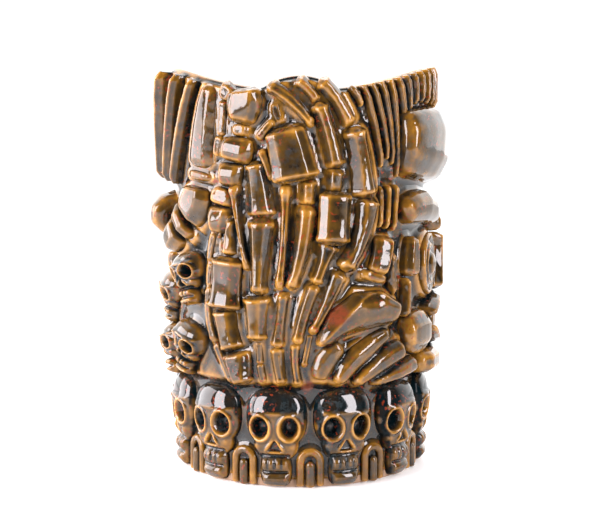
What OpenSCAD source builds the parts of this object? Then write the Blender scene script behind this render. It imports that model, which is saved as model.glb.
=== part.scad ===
// Tiki mug: a stoneware vessel with applied relief.
// A ring of skulls stands round the foot, a hand of jointed bones climbs each flank,
// a carved face fills the front (+X) and a strapped back with trophy skulls the rear (-X).
//
// Frame: millimetres, +Z up, origin at the centre of the foot.
// Angles on the mug are in degrees from -Y (the near flank) towards +X (the front).

/* [Vessel] */
// Height of the rim above the foot at the front and the back
rim_peak = 155.5; // [150:0.5:160]
// Height of the rim above the foot at the middle of each flank
rim_dip = 142.5; // [138:0.5:146]
// Radius of the outer wall behind the bones
wall_r = 48.5; // [47.5:0.25:50]
// Radius of the outer wall at the rim
lip_r = 51; // [50:0.25:52.5]
// Thickness of the wall at the rim
lip_t = 4.2; // [3.8:0.1:5]
// Radius of the inside at the floor
inside_r = 43.5; // [42:0.25:44]
// Thickness of the floor
floor_t = 5; // [4:0.5:8]

/* [Foot] */
// Height of the foot under the wall
foot_h = 3; // [2:0.5:4]
// Outer radius of the foot
foot_r = 47; // [46:0.25:48]
// Width of the foot's resting face
foot_w = 7; // [5:0.5:9]

/* [Skull ring] */
// Number of skulls round the foot
skull_count = 12; // [12]
// Radius of the band that carries the skulls
band_r = 46.5; // [45.5:0.25:47]
// Height of the band
band_h = 36; // [34:0.5:37]
// Radius of one cranium
cranium_r = 13; // [12.5:0.25:13.25]
// Height of the middle of the eye sockets
socket_z = 22.5; // [21:0.5:24]

/* [Relief] */
// Depth that the relief is bedded in the wall
bed = 0.4; // [0.2:0.1:0.8]
// Size of a bone's end face as a share of the bone's full size
end_size = 0.72; // [0.5:0.02:0.9]
// Length over which a bone's end is rounded
end_round = 1.6; // [1:0.1:2.4]

/* [Hidden] */
$fn = 64;

SKULLS = [for (i = [1:12]) str("skull_", i < 10 ? "0" : "", i)];
FLANK_PARTS = [
    "finger_1_bones", "finger_2_bones", "finger_3_bones", "finger_3_knuckle",
    "finger_4_bones", "finger_4_knuckle", "finger_5_bones", "thumb_knuckle",
    "slender_bones", "wrist_chain", "forearm", "cane", "leaf", "fan_strands",
    "hair_locks"
];

front = 90;
back = -90;
skull_step = 360 / skull_count;
first_skull = -10.5;
// The rim follows a level cylinder that crosses the mug from near to far.
rim_cut_r = (pow(lip_r, 2) + pow(rim_peak - rim_dip, 2)) / (2 * (rim_peak - rim_dip));
// The wall leans out between the shoulder and this height, then rises straight.
lean_top = rim_dip - 3;
// The seat is the outer wall as the relief sees it: height, then radius.
SEAT = [
    [0, band_r], [band_h, band_r], [band_h + 3, wall_r],
    [100, wall_r], [lean_top, lip_r], [rim_peak, lip_r]
];
glaze_dark = "#3a2a18";
glaze_mid = "#6e4a1e";
glaze_light = "#a87a34";
clay = "#8a6248";

// ---- Placing things on the wall ----

function seat_r(z) = lookup(z, SEAT);
function on_wall(a, z, out) = let (r = seat_r(z) + out) [r * sin(a), -r * cos(a), z];
function rim_z(a) = let (x = lip_r * sin(a)) rim_dip + rim_cut_r - sqrt(pow(rim_cut_r, 2) - x * x);
function mm_per_degree(z) = seat_r(z) * PI / 180;

// A quadratic through p, q and r, which q meets halfway.
function bend(p, q, r, t) =
    p * (2 * t * t - 3 * t + 1) + q * (4 * t - 4 * t * t) + r * (2 * t * t - t);
function bend_slope(p, q, r, t) = p * (4 * t - 3) + q * (4 - 8 * t) + r * (4 * t - 1);
// Share of the full size left at a distance from an end that is rounded over a length.
function rounded(distance, over) =
    distance >= over ? 1 : end_size + (1 - end_size) * sqrt(1 - pow(1 - distance / over, 2));
function signed_power(x, e) = sign(x) * pow(abs(x), e);

// One bone lies on the wall along a bend. Its entry in a table is
// [from, via, to, widths at those points, rise above the wall, squareness, end lip]:
// points are [angle, height]; squareness 1 is round and 0.5 is boxy.
module bone(b, rings = 6, arc_points = 6) {
    gone = [for (p = [b[0], b[1], b[2]]) [p[0] * mm_per_degree(p[1]), p[1]]];
    length = norm(gone[1] - gone[0]) + norm(gone[2] - gone[1]);
    square = b[5] == undef ? 1 : b[5];
    lip = b[6] == undef ? 0 : b[6];
    ends_over = min(end_round, length / 3);
    section = concat(
        [for (k = [0:arc_points - 1]) let (t = 180 * k / (arc_points - 1))
            [signed_power(cos(t), square), signed_power(sin(t), square)]],
        [[-0.9, -1], [0.9, -1]]
    );
    count = len(section);
    points = [
        for (i = [0:rings])
            let (
                t = (1 - cos(180 * i / rings)) / 2,
                p = bend(b[0], b[1], b[2], t),
                s = bend_slope(b[0], b[1], b[2], t),
                slope = [s[0] * mm_per_degree(p[1]), s[1]],
                along = slope / norm(slope),
                across = [-along[1], along[0]],
                from_end = min(t, 1 - t) * length,
                width = bend(b[3][0], b[3][1], b[3][2], t),
                size = rounded(from_end, ends_over) + (t > 0.5 && from_end < 2.6 ? lip : 0),
                rise = b[4] * size
            )
            for (q = section)
                let (
                    u = -q[0] * width * size / 2,
                    a = p[0] + across[0] * u / mm_per_degree(p[1]),
                    z = p[1] + across[1] * u
                )
                on_wall(a, z, q[1] < 0 ? -bed : -bed + (rise + bed) * q[1])
    ];
    faces = concat(
        [[for (k = [0:count - 1]) k]],
        [for (i = [0:rings - 1], k = [0:count - 1])
            let (n = (k + 1) % count)
            [i * count + k, (i + 1) * count + k, (i + 1) * count + n, i * count + n]],
        [[for (k = [count - 1:-1:0]) rings * count + k]]
    );
    polyhedron(points, faces, convexity = 4);
}

module bones(table, rings = 6) {
    for (b = table) bone(b, rings);
}

// The two flanks are mirror images.
module flank(side) {
    if (side == "far") mirror([0, 1, 0]) children();
    else children();
}

// ---- The hand on each flank ----

FINGER_1 = [
    [[-28, 97], [-29, 91], [-29.5, 84.5], [4, 7, 8], 4.5],
    [[-30, 83], [-31, 74], [-31.6, 65.2], [12.6, 13, 13], 6.8, 0.62, 0.07],
    [[-31.8, 64.2], [-30.6, 57], [-28.4, 50.6], [10.6, 10, 9], 5.8, 0.8],
    [[-26.4, 48.8], [-25.2, 43.5], [-24, 38.6], [11.6, 10, 7], 6.4, 0.75]
];
FINGER_2 = [
    [[-17.5, 117], [-16, 108], [-15.2, 98.4], [6.5, 9.4, 10.4], 5.6, 0.8],
    [[-15.5, 97.2], [-16, 84], [-16.3, 71], [9.6, 7.4, 5], 6, 0.85],
    [[-17.8, 69.4], [-17.6, 62], [-17.4, 54.6], [9.8, 7.8, 6.4], 6.2, 0.75],
    [[-16.8, 53.2], [-16.6, 50], [-16.4, 46], [3, 2.6, 2.6], 3],
    [[-16.3, 45.2], [-15.9, 42.5], [-15, 39.4], [2.8, 2.8, 2.6], 3]
];
FINGER_3 = [
    [[3.2, 110.4], [3.3, 107], [3, 103], [6.4, 6.2, 6.6], 5.4],
    [[-5.6, 109], [-6, 92], [-8.2, 73], [3.6, 2.8, 2.6], 5.6],
    [[2.6, 102.2], [0.6, 86], [-3.8, 73], [6.6, 7.2, 3.4], 5.8],
    [[-6.4, 71], [-7.7, 61], [-9, 52.2], [3.8, 4, 4.6], 4.8],
    [[-9.1, 51.2], [-8.8, 46], [-7.4, 39.2], [4.8, 4.2, 3], 4.4]
];
KNUCKLE_3 = [
    [[-5.8, 128.4], [-3.6, 120], [-1.6, 111.2], [12.4, 14.8, 15], 7.6, 0.62, 0.08]
];
FINGER_4 = [
    [[-11.5, 143.4], [-3.5, 138.8], [4.6, 130], [4.4, 5.4, 2.4], 5],
    [[-9.2, 137.2], [-8.8, 134.5], [-7.6, 131.4], [3, 3.4, 2.6], 3.4],
    [[-0.8, 144.9], [2.9, 142.4], [6.1, 138.4], [5.6, 5.2, 4.8], 4.2],
    [[6.8, 137.2], [11, 126.5], [13.7, 115.6], [5.4, 7.4, 6.8], 5.6],
    [[13.6, 114.4], [13.6, 111.5], [13.5, 107.6], [6.6, 6.6, 6.6], 5.4, 0.8],
    [[11.8, 88.4], [9.3, 82], [6.3, 74.9], [9, 4.8, 4.6], 5.4],
    [[5.8, 74], [1.8, 64], [-1.1, 53.6], [4.6, 4.5, 3.4], 4.8],
    [[-1.7, 52.8], [-1.9, 46], [-0.5, 38.6], [3, 2.6, 2.2], 4]
];
KNUCKLE_4 = [
    [[13.6, 106.4], [13.3, 98], [12.7, 89], [10.6, 11, 10.6], 7.4, 0.62, 0.07]
];
FINGER_5 = [
    [[7.4, 144.6], [13.4, 139.3], [18.9, 130.3], [5.4, 6.6, 6.6], 5],
    [[20.5, 128.9], [24, 117], [26.2, 105.4], [8.4, 9.8, 9.8], 6.6],
    [[27, 104.4], [25.3, 92], [17.2, 79.9], [10, 8.6, 7], 6.4],
    [[16, 78.4], [10.5, 67], [4.6, 57.2], [6.6, 4.9, 2.4], 5.4],
    [[4, 56.4], [2.8, 51], [1.6, 45.4], [2.4, 2, 1.4], 3.4]
];
THUMB = [
    [[34.9, 90.4], [33.9, 84], [31.8, 78.2], [7.6, 7.2, 7], 7, 0.62],
    [[31, 77.8], [30.6, 76.6], [30.2, 75.4], [10.6, 10.8, 10.4], 5.6, 0.7]
];
SLENDER = [
    [[-39, 80.6], [-39.5, 76.5], [-39.6, 73], [2.8, 2.8, 2.8], 4],
    [[-39.6, 72.2], [-40, 62], [-36.7, 52.6], [3, 3.6, 3.6], 4.6],
    [[-36.2, 51.8], [-33, 45.5], [-28.6, 38.4], [3.6, 3, 2.4], 4],
    [[-12.3, 67.5], [-12.6, 63], [-12.7, 58.5], [2, 2, 2], 2.4],
    [[-26, 109.4], [-24.8, 97], [-20.8, 79.4], [4, 3.4, 1.6], 5.6],
    [[-34.4, 90.6], [-31.6, 95], [-27, 98.2], [1.8, 1.8, 1.4], 5.2]
];
WRIST = [
    [[-21, 142.2], [-21, 137], [-22.3, 131.4], [11, 12, 9], 6.8, 0.6],
    [[-22.6, 130.2], [-22.8, 128.6], [-23, 126.9], [7.4, 6.8, 7.8], 5.6],
    [[-24, 125.6], [-24.8, 121.6], [-25.8, 118], [10.4, 12.4, 11.6], 6.6, 0.62],
    [[-15.4, 125.6], [-12.8, 128.6], [-10.2, 131.2], [4, 2.8, 2.4], 5.2],
    [[-14.4, 121.2], [-12.6, 117], [-11, 111.6], [3.6, 2.8, 1.6], 5.6],
    [[-27.4, 116.6], [-27.9, 113], [-28.4, 109.4], [10, 9.4, 8.4], 6, 0.65],
    [[-31.2, 107.8], [-32, 105.3], [-32.8, 102.8], [7, 9.4, 10], 6, 0.65],
    [[-33.4, 101.5], [-34, 97.2], [-34.8, 92.4], [10.6, 9.8, 6], 5.6, 0.7],
    [[-37, 91.6], [-38.4, 87], [-39.4, 82], [2.6, 2.6, 2.4], 4.2]
];
FOREARM = [
    [[-36, 144.6], [-40.5, 130.5], [-43.6, 115.8], [7.4, 11.4, 14], 5, 0.75],
    [[-44, 114.2], [-44.3, 112.8], [-44.6, 111.2], [13.4, 13.6, 13.4], 4.8, 0.75],
    [[-45.4, 108.6], [-47.6, 103.4], [-52.2, 98.6], [13, 18, 17], 7.6, 0.85],
    [[-54, 97.4], [-56.2, 96], [-58.6, 94.4], [16.6, 17, 16], 8, 0.85],
    [[-60.2, 93.2], [-64.6, 90], [-68.4, 86], [15, 15, 10], 8, 0.85]
];
CANE = [
    [[-26.8, 143.4], [-28.5, 141.6], [-29.7, 139.6], [8, 6, 5], 4.8, 0.8],
    [[-29.9, 138.8], [-30.6, 132.5], [-31.6, 127], [3.8, 3.8, 3.8], 4.6],
    [[-32, 126.2], [-33.2, 123.4], [-34.4, 120.4], [4.6, 4.8, 4], 4.6]
];
LEAF = [[[7.4, 53], [24.5, 64.3], [42.4, 62], [3, 15.6, 8], 7.6]];
FAN = [
    [[7.8, 40.4], [10.6, 46.8], [16.4, 52.6], [5.6, 9, 6.6], 4.8, 0.8],
    [[15, 38.8], [24, 48.4], [38.5, 56.2], [4.4, 8.6, 5], 5.6, 0.8],
    [[22.4, 38], [33, 44.8], [47, 49.4], [4, 8.4, 9], 6.2, 0.8],
    [[30.4, 37.8], [43, 40.2], [56, 42.8], [3, 6.4, 7], 6, 0.8]
];
// Short locks in front of the ear, then folds down the cheek.
CHEEK_LOCKS = [
    [[33.8, 108.6], [34.4, 102], [34.4, 94.4], [2.4, 2.3, 2], 4],
    [[37.8, 109.2], [38, 102], [37.6, 93.8], [2.5, 2.3, 2], 4.4],
    [[41.8, 109.2], [41.6, 102], [41, 93], [2.5, 2.4, 2], 4.8],
    [[40.6, 84.6], [40.2, 78], [41, 69.6], [3.6, 3.8, 2.8], 5.2],
    [[53.4, 90], [53.8, 83], [53.6, 75.8], [4.6, 9, 8.6], 5.8, 0.8],
    [[49.8, 74.8], [49.8, 68], [49.2, 61], [3, 2.8, 3], 5.4]
];
// Locks of hair fall from the rim: angle at the rim, angle at the tip, height of the tip.
HAIR = [
    [19.6, 24, 137], [25, 34.6, 116], [29, 37.6, 119], [33.4, 40.4, 117], [38, 43.4, 112.5],
    [42.5, 46, 127], [47, 48.6, 136], [52, 53, 139], [57.5, 58, 140], [63.5, 63.6, 140],
    [70, 69.6, 140], [77, 76.8, 140], [84, 84, 140]
];

module hair_lock(h) {
    top = rim_z(h[0]) - 0.6;
    middle = [(h[0] + h[1]) / 2 + 0.8, (top + h[2]) / 2];
    bone([[h[0], top], middle, [h[1], h[2]], [3, 2.3, 1.2], 3.6], rings = 4);
}

// A crest carries the top of each hand a little above the rim.
module rim_crests() {
    crest_r = 24;
    crest_top = 147.6;
    color(glaze_dark) for (side = ["near", "far"]) flank(side) intersection() {
        difference() {
            cylinder(r = lip_r + 0.8, h = 170, $fn = 128);
            translate([0, 0, -1]) cylinder(r = lip_r - lip_t, h = 172, $fn = 128);
        }
        translate([0, 0, crest_top - crest_r]) rotate([90, 0, 0]) cylinder(r = crest_r, h = 80, $fn = 128);
        translate([0, 0, rim_dip + rim_cut_r]) rotate([90, 0, 0])
            cylinder(r = rim_cut_r, h = 240, center = true, $fn = 256);
    }
}

module flank_part(side, part) {
    flank(side) {
        if (part == "finger_1_bones") color(glaze_light) bones(FINGER_1);
        if (part == "finger_2_bones") color(glaze_light) bones(FINGER_2);
        if (part == "finger_3_bones") color(glaze_light) bones(FINGER_3);
        if (part == "finger_3_knuckle") color(glaze_mid) bones(KNUCKLE_3);
        if (part == "finger_4_bones") color(glaze_light) bones(FINGER_4);
        if (part == "finger_4_knuckle") color(glaze_mid) bones(KNUCKLE_4);
        if (part == "finger_5_bones") color(glaze_light) bones(FINGER_5);
        if (part == "thumb_knuckle") color(glaze_mid) bones(THUMB);
        if (part == "slender_bones") color(glaze_light) bones(SLENDER, rings = 5);
        if (part == "wrist_chain") color(glaze_light) bones(WRIST, rings = 5);
        if (part == "forearm") color(glaze_mid) bones(FOREARM);
        if (part == "cane") color(glaze_mid) bones(CANE, rings = 5);
        if (part == "leaf") color(glaze_mid) bones(LEAF);
        if (part == "fan_strands") color(glaze_mid) bones(FAN);
        if (part == "hair_locks") color(glaze_dark) {
            for (h = HAIR) hair_lock(h);
            bones(CHEEK_LOCKS, rings = 5);
        }
    }
}

// ---- The vessel ----

module vessel_wall() {
    color(glaze_dark) difference() {
        rotate_extrude($fn = 180) polygon([
            [inside_r, foot_h], [band_r, foot_h], [band_r, band_h],
            [wall_r, band_h + 3], [wall_r, 100], [lip_r, lean_top], [lip_r, rim_peak + 6],
            [lip_r - lip_t, rim_peak + 6], [lip_r - lip_t, lean_top], [inside_r, 40]
        ]);
        translate([0, 0, rim_dip + rim_cut_r]) rotate([90, 0, 0])
            cylinder(r = rim_cut_r, h = 240, center = true, $fn = 256);
    }
}

module vessel_floor() {
    color(glaze_dark) translate([0, 0, foot_h]) cylinder(r = inside_r, h = floor_t, $fn = 180);
}

module foot_ring() {
    color(clay) difference() {
        cylinder(r = foot_r, h = foot_h, $fn = 180);
        translate([0, 0, -1]) cylinder(r = foot_r - foot_w, h = foot_h + 2, $fn = 180);
    }
}

// ---- The skull ring ----

// Turns its children to face outwards at an angle on the mug, with +Y towards the wall.
module facing(a) {
    rotate([0, 0, a]) children();
}

// A skull stands against the band and looks outwards.
module ring_skull(i) {
    cranium_z = 25.4;
    cranium_out = band_r - 8;
    socket_r = 3.9;
    jaw_r = 5.6;
    jaw_h = 18;
    color(glaze_light) facing(first_skull + skull_step * (i - 1)) difference() {
        union() {
            translate([0, -cranium_out, cranium_z]) sphere(r = cranium_r);
            translate([0, 1.2 - band_r, 0.8]) cylinder(r = jaw_r, h = jaw_h);
        }
        for (side = [-1, 1]) translate([side * 5.2, -band_r - 4.6, socket_z]) sphere(r = socket_r);
        translate([0, -band_r - 5, 15.6]) rotate([90, 0, 0]) cylinder(r = 1.9, h = 5, center = true);
        translate([0, 0, -10]) cylinder(r = band_r, h = 60, $fn = 180);
    }
}

// An arch stands in the gap between two skulls.
module arch_ribs() {
    arch_r = 3.6;
    bar_r = 1.25;
    spring_z = 9.5;
    color(glaze_mid) for (i = [0:skull_count - 1]) facing(first_skull + skull_step * (i + 0.5))
        translate([0, -band_r - 0.8, 0]) {
            translate([0, 0, spring_z]) rotate([90, 0, 0]) rotate_extrude(angle = 180, $fn = 32)
                translate([arch_r, 0]) circle(r = bar_r, $fn = 24);
            for (side = [-1, 1]) translate([side * arch_r, 0, 0.6])
                cylinder(r = bar_r, h = spring_z - 0.6, $fn = 24);
        }
}

module drop_pegs() {
    peg_r = 1.5;
    peg_h = 7.4;
    color(glaze_mid) for (i = [0:skull_count - 1]) facing(first_skull + skull_step * (i + 0.5))
        translate([0, -band_r - 1.2, 0.6]) {
            cylinder(r = peg_r, h = peg_h, $fn = 24);
            translate([0, 0, peg_h]) sphere(r = peg_r, $fn = 24);
        }
}

// ---- The face at the front ----

FOREHEAD = [[[44.6, 124.6], [90, 125.2], [135.4, 124.6], [23, 29, 23], 9.6, 0.8]];
BROWS = [for (side = [-1, 1]) [
    [front + 43 * side, 99.4], [front + 27 * side, 101.4], [front + 5.6 * side, 97.6],
    [9, 12, 8], 7.6, 0.75
]];
// A raised bead between the brows.
BEAD = [[[90, 97], [90, 94.4], [90, 91.8], [4.2, 5, 4.2], 8.8]];
NOSE = [[[90, 90.4], [90, 80], [90, 68], [4.6, 3.6, 15], 9.6, 0.9]];
LIPS = [
    [[69, 60], [90, 65], [111, 60], [4.4, 5.4, 4.4], 8.4],
    [[69, 55], [90, 48.6], [111, 55], [4.4, 5.4, 4.4], 8.6]
];
TEETH = [for (i = [-3:3]) let (a = front + 5.2 * i, z = 57 - abs(i) * 0.3)
    [[a, z + 3.8], [a, z], [a, z - 3.8], [3.9, 4.1, 3.9], 6, 0.6]];
JAW = [
    [[50.6, 54], [58.5, 54], [66.6, 54], [10, 15, 11.6], 7.4, 0.85],
    [[129.4, 54], [121.5, 54], [113.4, 54], [10, 15, 11.6], 7.4, 0.85],
    [[62, 42.2], [90, 41.2], [118, 42.2], [5.4, 6, 5.4], 8.4, 0.75]
];

module forehead_rolls() { color(glaze_mid) bones(FOREHEAD, rings = 12); }

module brow_ridges() { color(glaze_mid) bones(concat(BROWS, BEAD)); }

// A round eye of raised rings, turned to face outwards.
module eye_disc(a) {
    eye_z = 79;
    sink = 2;
    color(glaze_light) facing(a) translate([0, sink - wall_r, eye_z]) rotate([90, 0, 0])
        rotate_extrude($fn = 96) polygon([
            [0, 0], [12, 0], [12, 5.6], [11.2, 6.6], [10, 5.8], [8.6, 5.6],
            [7.4, 7], [6, 6.2], [4.8, 6.2], [3.4, 7.8], [0, 8.6]
        ]);
}

module nose() { color(glaze_mid) bones(NOSE); }

module lips() { color(glaze_mid) bones(LIPS, rings = 10); }

module teeth() { color(glaze_light) bones(TEETH, rings = 4); }

module jaw() { color(glaze_mid) bones(JAW); }

// ---- The back ----

KNEES = [
    [[-74, 97.6], [-90, 98.6], [-106, 97.6], [14, 17.6, 14], 11.4, 0.85]
];
// Straps run down each side of the back to the knees.
STRAPS = [
    [[-45, 147.6], [-55, 129], [-65, 109.6], [4.6, 5, 5], 6],
    [[-55.4, 150.2], [-63.4, 131], [-72.6, 110.6], [4.6, 5, 5], 6.8],
    [[-69.5, 152.6], [-75.4, 132], [-80.8, 111.6], [4.6, 4.8, 4.6], 8]
];
VERTEBRAE = [for (i = [0:5]) let (z = 121 + 5.4 * i)
    [[-90, z + 2.2], [-90, z], [-90, z - 2.2], [6, 5, 6.4], 6.6, 0.75]];
TAILBONES = [for (i = [0:5]) let (z = 43.4 + 7.2 * i)
    [[-90, z + 3.2], [-90, z], [-90, z - 3.2], [6.6, 5, 7], 5, 0.75]];

module knee_roll() { color(glaze_mid) bones(KNEES, rings = 10); }

module back_straps() {
    color(glaze_light) for (side = ["near", "far"]) flank(side) bones(STRAPS);
}

// Trophy skulls on each side of the spine: angle, then height of the head's middle.
TROPHIES = [[-55, 50], [-55, 76], [-77, 47], [-77, 67.4]];

// A small round skull looks out from the wall.
module trophy_skull(a, z) {
    head_r = 8.6;
    socket_r = 2.6;
    color(glaze_light) translate([0, 0, z]) facing(a) difference() {
        translate([0, 1.4 - wall_r, 0]) {
            sphere(r = head_r);
            translate([0, -0.6, -10.6]) cylinder(r = 4.8, h = 10);
        }
        for (side = [-1, 1]) translate([side * 3.8, -wall_r - 6.2, -1.2]) sphere(r = socket_r);
        translate([0, 0, -20]) cylinder(r = wall_r, h = 40, $fn = 180);
    }
}

module trophy_skulls() {
    for (side = ["near", "far"], t = TROPHIES) flank(side) trophy_skull(t[0], t[1]);
}

module spine() { color(glaze_light) bones(concat(VERTEBRAE, TAILBONES), rings = 6); }

// ---- Output ----

vessel_wall();
rim_crests();
vessel_floor();
foot_ring();
arch_ribs();
drop_pegs();
for (i = [1:skull_count]) ring_skull(i);
for (side = ["near", "far"], part = FLANK_PARTS)
    flank_part(side, part);
forehead_rolls();
brow_ridges();
eye_disc(74);  // near_eye_disc
eye_disc(106);  // far_eye_disc
nose();
lips();  // mouth_lips
teeth();
jaw();
knee_roll();
back_straps();
trophy_skulls();
spine();
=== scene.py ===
"""Visual model of a glazed stoneware tiki mug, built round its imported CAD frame.

Every length is in metres. +Z is up, +X is the front with the carved face, and -Y is the near
flank. Angles on the mug are in degrees from -Y towards +X, as in the CAD part.
"""

import sys

import logging
import math
from dataclasses import dataclass, replace
from enum import Enum

import bpy
import numpy as np
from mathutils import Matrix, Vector
from mathutils.bvhtree import BVHTree


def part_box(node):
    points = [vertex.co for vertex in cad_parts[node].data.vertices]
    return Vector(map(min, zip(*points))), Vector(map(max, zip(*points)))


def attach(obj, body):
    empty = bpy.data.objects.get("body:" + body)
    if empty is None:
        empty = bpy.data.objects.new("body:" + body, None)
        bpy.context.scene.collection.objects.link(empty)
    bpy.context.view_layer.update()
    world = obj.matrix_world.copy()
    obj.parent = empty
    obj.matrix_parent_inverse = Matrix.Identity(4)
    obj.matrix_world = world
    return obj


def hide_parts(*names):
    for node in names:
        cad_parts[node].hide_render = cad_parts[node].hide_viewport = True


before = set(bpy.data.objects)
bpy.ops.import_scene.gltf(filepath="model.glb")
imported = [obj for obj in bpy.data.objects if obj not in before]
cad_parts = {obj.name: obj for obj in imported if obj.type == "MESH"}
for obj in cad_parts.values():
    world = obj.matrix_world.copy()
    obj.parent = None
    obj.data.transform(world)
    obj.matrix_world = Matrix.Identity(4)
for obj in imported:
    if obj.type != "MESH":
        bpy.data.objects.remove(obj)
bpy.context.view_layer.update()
MM = 0.001
BODY = "root"
GLAZE_ATTRIBUTE = "glaze"
LOG = logging.getLogger("tiki_mug")

Colour = tuple[float, float, float]
Piece = bpy.types.Object
Socket = bpy.types.NodeSocket


# ---- Small helpers ----


def only(*objects: Piece) -> None:
    """Select these objects and nothing else, and make the first one active.

    Args:
        objects: The objects to select.
    """
    bpy.ops.object.select_all(action="DESELECT")
    for item in objects:
        item.select_set(True)
    bpy.context.view_layer.objects.active = objects[0]


def smooth_step(value: np.ndarray, low: float, high: float) -> np.ndarray:
    """Ease from 0 at low to 1 at high.

    Args:
        value: The numbers to ease.
        low: Where the step starts.
        high: Where the step ends.

    Returns:
        The eased numbers.
    """
    t = np.clip((value - low) / (high - low), 0.0, 1.0)
    return t * t * (3 - 2 * t)


def smooth_max(first: np.ndarray, second: np.ndarray, blend: float) -> np.ndarray:
    """Take the larger of two fields with a fillet between them.

    Args:
        first: One field.
        second: The other field.
        blend: Width of the fillet, in the fields' own unit.

    Returns:
        The blended field.
    """
    share = np.clip(0.5 + 0.5 * (first - second) / blend, 0.0, 1.0)
    return second * (1 - share) + first * share + blend * share * (1 - share)


def coordinates(mesh: bpy.types.Mesh) -> np.ndarray:
    """Read a mesh's vertices.

    Args:
        mesh: The mesh.

    Returns:
        One row of x, y, z for each vertex.
    """
    flat = np.empty(len(mesh.vertices) * 3, np.float32)
    mesh.vertices.foreach_get("co", flat)
    return flat.reshape(-1, 3).astype(float)


def set_coordinates(mesh: bpy.types.Mesh, points: np.ndarray) -> None:
    """Write a mesh's vertices.

    Args:
        mesh: The mesh.
        points: One row for each vertex.
    """
    mesh.vertices.foreach_set("co", points.astype(np.float32).ravel())
    mesh.update()


def normals(mesh: bpy.types.Mesh) -> np.ndarray:
    """Read a mesh's vertex normals.

    Args:
        mesh: The mesh.

    Returns:
        One unit row for each vertex.
    """
    flat = np.empty(len(mesh.vertices) * 3, np.float32)
    mesh.vertex_normals.foreach_get("vector", flat)
    return flat.reshape(-1, 3).astype(float)


def relaxed(mesh: bpy.types.Mesh, points: np.ndarray, rounds: int) -> np.ndarray:
    """Average each vertex with its neighbours a number of times.

    Args:
        mesh: The mesh whose edges say who the neighbours are.
        points: The values to average, one row for each vertex.
        rounds: How many times to do it.

    Returns:
        The averaged values.
    """
    flat = np.empty(len(mesh.edges) * 2, np.int32)
    mesh.edges.foreach_get("vertices", flat)
    ends = flat.reshape(-1, 2)
    here = np.concatenate([ends[:, 0], ends[:, 1]])
    there = np.concatenate([ends[:, 1], ends[:, 0]])
    count = len(points)
    degree = np.maximum(np.bincount(here, minlength=count), 1)[:, None]
    out = points.copy()
    for _ in range(rounds):
        gathered = out[there]
        sums = [np.bincount(here, column, minlength=count) for column in gathered.T]
        out = 0.5 * out + 0.5 * np.stack(sums, axis=1) / degree
    return out


def new_object(name: str, points: np.ndarray, faces: list[tuple[int, ...]]) -> Piece:
    """Make an object from vertices and faces.

    Args:
        name: The object's name.
        points: One row for each vertex.
        faces: Vertex numbers of each face.

    Returns:
        The object, linked to the scene.
    """
    mesh = bpy.data.meshes.new(name)
    mesh.from_pydata(points.tolist(), [], faces)
    mesh.validate()
    made = bpy.data.objects.new(name, mesh)
    bpy.context.scene.collection.objects.link(made)
    return made


def outward(piece: Piece) -> None:
    """Turn all faces of a closed piece outwards.

    Args:
        piece: The object to mend.
    """
    only(piece)
    bpy.ops.object.mode_set(mode="EDIT")
    bpy.ops.mesh.select_all(action="SELECT")
    bpy.ops.mesh.normals_make_consistent(inside=False)
    bpy.ops.object.mode_set(mode="OBJECT")


def shade_crisply(piece: Piece, angle: float = 50.0) -> None:
    """Shade a piece smooth, with a crisp line where it turns by more than an angle.

    Args:
        piece: The object to shade.
        angle: The angle in degrees.
    """
    only(piece)
    bpy.ops.object.shade_smooth_by_angle(angle=math.radians(angle))


def lattice_faces(rows: int, columns: int, closed: bool) -> list[tuple[int, ...]]:
    """List the quads of a grid of vertices that is numbered row by row.

    Args:
        rows: Number of rows of vertices.
        columns: Number of vertices in a row.
        closed: Whether the last column joins the first one.

    Returns:
        Four vertex numbers for each quad.
    """
    faces = []
    for i in range(rows - 1):
        for j in range(columns if closed else columns - 1):
            here = i * columns + j
            beside = i * columns + (j + 1) % columns
            faces.append((here, beside, beside + columns, here + columns))
    return faces


def turn_about_axis(angle: float) -> np.ndarray:
    """Give the matrix that turns points about the mug's axis.

    Args:
        angle: How far, in radians.

    Returns:
        The matrix, for columns of x, y, z.
    """
    cosine, sine = math.cos(angle), math.sin(angle)
    return np.array([[cosine, -sine, 0.0], [sine, cosine, 0.0], [0.0, 0.0, 1.0]])


# ---- The wall as every piece sees it ----


@dataclass(frozen=True)
class Seat:
    """Outer wall of the vessel, which every relief piece is bedded in."""

    band_r: float = 46.5 * MM
    band_h: float = 36 * MM
    shoulder_h: float = 39 * MM
    wall_r: float = 48.5 * MM
    lean_from: float = 100 * MM
    lean_to: float = 139.5 * MM
    lip_r: float = 51 * MM

    def radius(self, z: np.ndarray) -> np.ndarray:
        """Give the wall's radius at a height.

        Args:
            z: Heights.

        Returns:
            Radii.
        """
        return np.interp(
            z,
            [0, self.band_h, self.shoulder_h, self.lean_from, self.lean_to],
            [self.band_r, self.band_r, self.wall_r, self.wall_r, self.lip_r],
        )


SEAT = Seat()


def radial(points: np.ndarray) -> np.ndarray:
    """Give the distance of points from the mug's axis.

    Args:
        points: One row for each point.

    Returns:
        One distance for each point.
    """
    return np.hypot(points[:, 0], points[:, 1])


def angle_of(points: np.ndarray) -> np.ndarray:
    """Give the angle of points on the mug, in degrees from -Y towards +X.

    Args:
        points: One row for each point.

    Returns:
        One angle for each point.
    """
    return np.degrees(np.arctan2(points[:, 0], -points[:, 1]))


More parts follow.
